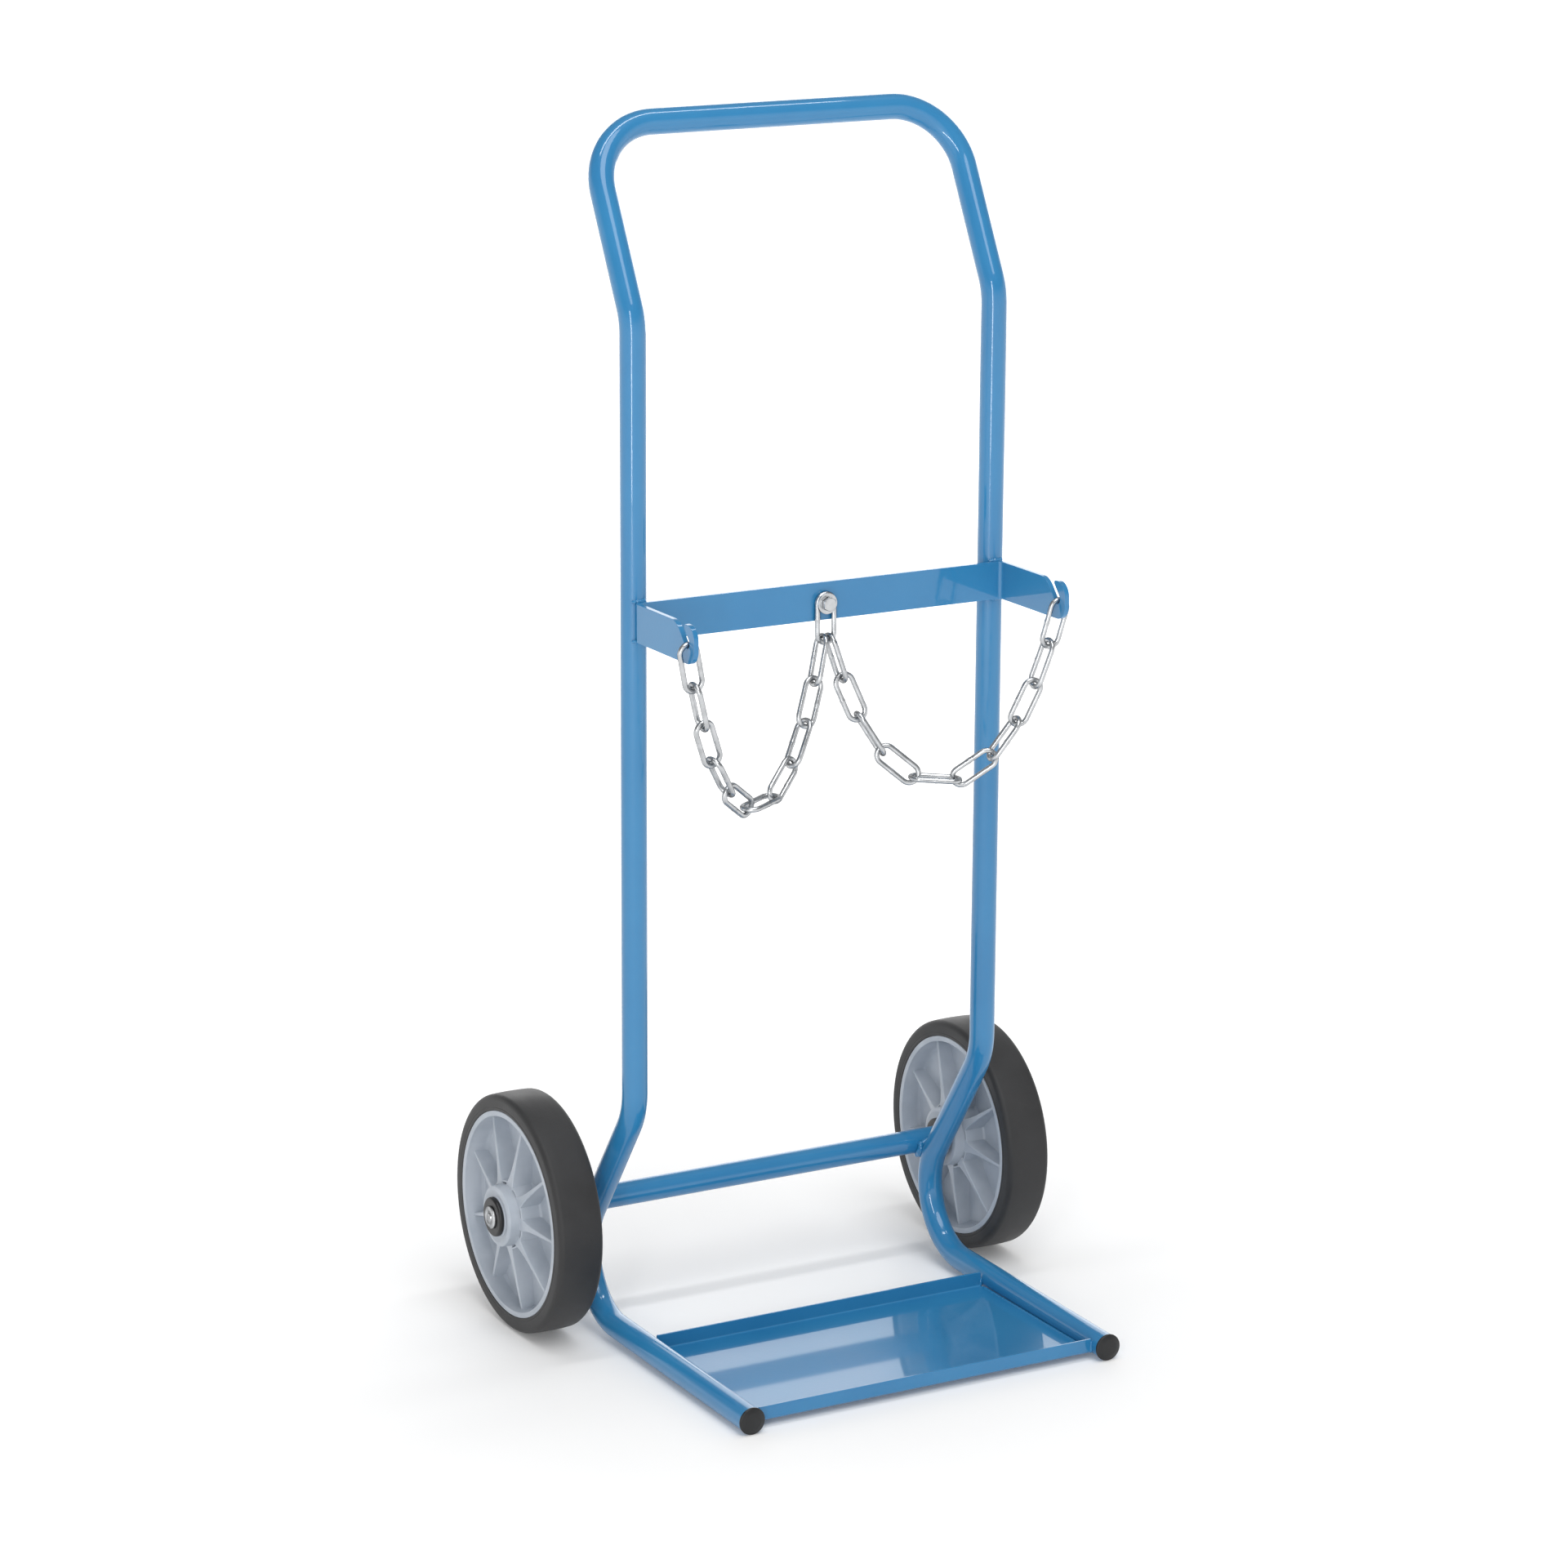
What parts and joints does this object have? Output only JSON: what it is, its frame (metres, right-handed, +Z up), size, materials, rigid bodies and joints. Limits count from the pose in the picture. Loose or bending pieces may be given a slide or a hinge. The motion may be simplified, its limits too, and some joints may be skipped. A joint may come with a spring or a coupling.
{
  "type": "gas bottle hand cart",
  "caption": "Two-wheeled hand cart for oxygen and acetylene bottles: bent tube frame, tray, U bracket with hook slots, hanging safety chain, spoked wheels.",
  "frame": {"origin": "on the floor under the middle of the cart's width and length", "axes": "+Z up, -Y towards the side the bottles stand on, +X to the right-hand wheel seen from behind the handle"},
  "size_m": [0.622, 0.5, 1.2529],
  "materials": {
    "blue_paint": "glossy blue powder coat on steel",
    "zinc": "bright zinc-plated steel",
    "grey_plastic": "satin pale grey moulded plastic",
    "tyre": "matte dark grey solid rubber",
    "black_plastic": "satin black moulded plastic"
  },
  "bodies": {
    "cart_body": {"frame_tube": "blue_paint", "cross_tube": "blue_paint", "left_foot_plug": "black_plastic", "right_foot_plug": "black_plastic", "tray": "blue_paint", "chain_bracket": "blue_paint", "chain_sleeve": "zinc", "chain_washer": "zinc", "chain_bolt": "zinc", "chain_nut": "zinc", "middle_link": "zinc", "left_axle_cap": "zinc", "right_axle_cap": "zinc", "axle_rod": "zinc"},
    "left_wheel": {"left_rim": "grey_plastic", "left_tyre": "tyre", "left_outer_bush": "black_plastic", "left_inner_bush": "black_plastic"},
    "right_wheel": {"right_rim": "grey_plastic", "right_tyre": "tyre", "right_outer_bush": "black_plastic", "right_inner_bush": "black_plastic"},
    "left_chain": {"left_link_01": "zinc", "left_link_02": "zinc", "left_link_03": "zinc", "left_link_04": "zinc", "left_link_05": "zinc", "left_link_06": "zinc", "left_link_07": "zinc", "left_link_08": "zinc", "left_link_09": "zinc"},
    "right_chain": {"right_link_01": "zinc", "right_link_02": "zinc", "right_link_03": "zinc", "right_link_04": "zinc", "right_link_05": "zinc", "right_link_06": "zinc", "right_link_07": "zinc", "right_link_08": "zinc", "right_link_09": "zinc"},
    "left_hook_link": {"left_link_10": "zinc"},
    "right_hook_link": {"right_link_10": "zinc"}
  },
  "joints": [
    {"name": "left_wheel_spin", "type": "hinge", "parent": "cart_body", "child": "left_wheel", "pos_m": [-0.2648, 0.125, 0.125], "axis": [1, 0, 0], "continuous": true},
    {"name": "right_wheel_spin", "type": "hinge", "parent": "cart_body", "child": "right_wheel", "pos_m": [0.2648, 0.125, 0.125], "axis": [1, 0, 0], "continuous": true},
    {"name": "left_chain_swing", "type": "hinge", "parent": "cart_body", "child": "left_chain", "pos_m": [-0.0041, -0.02325, 0.72969], "axis": [0.8928, 0.4492, 0.033], "range_deg": [-10, 20]},
    {"name": "right_chain_swing", "type": "hinge", "parent": "cart_body", "child": "right_chain", "pos_m": [0.0041, -0.02325, 0.72969], "axis": [0.8928, -0.4492, -0.033], "range_deg": [-10, 20]},
    {"name": "left_hook_link_turn", "type": "hinge", "parent": "cart_body", "child": "left_hook_link", "pos_m": [-0.20061, -0.12212, 0.72242], "axis": [-0.2308, -0.1161, 0.966], "range_deg": [-8, 8]},
    {"name": "right_hook_link_turn", "type": "hinge", "parent": "cart_body", "child": "right_hook_link", "pos_m": [0.20061, -0.12212, 0.72242], "axis": [0.2308, -0.1161, 0.966], "range_deg": [-8, 8]}
  ]
}
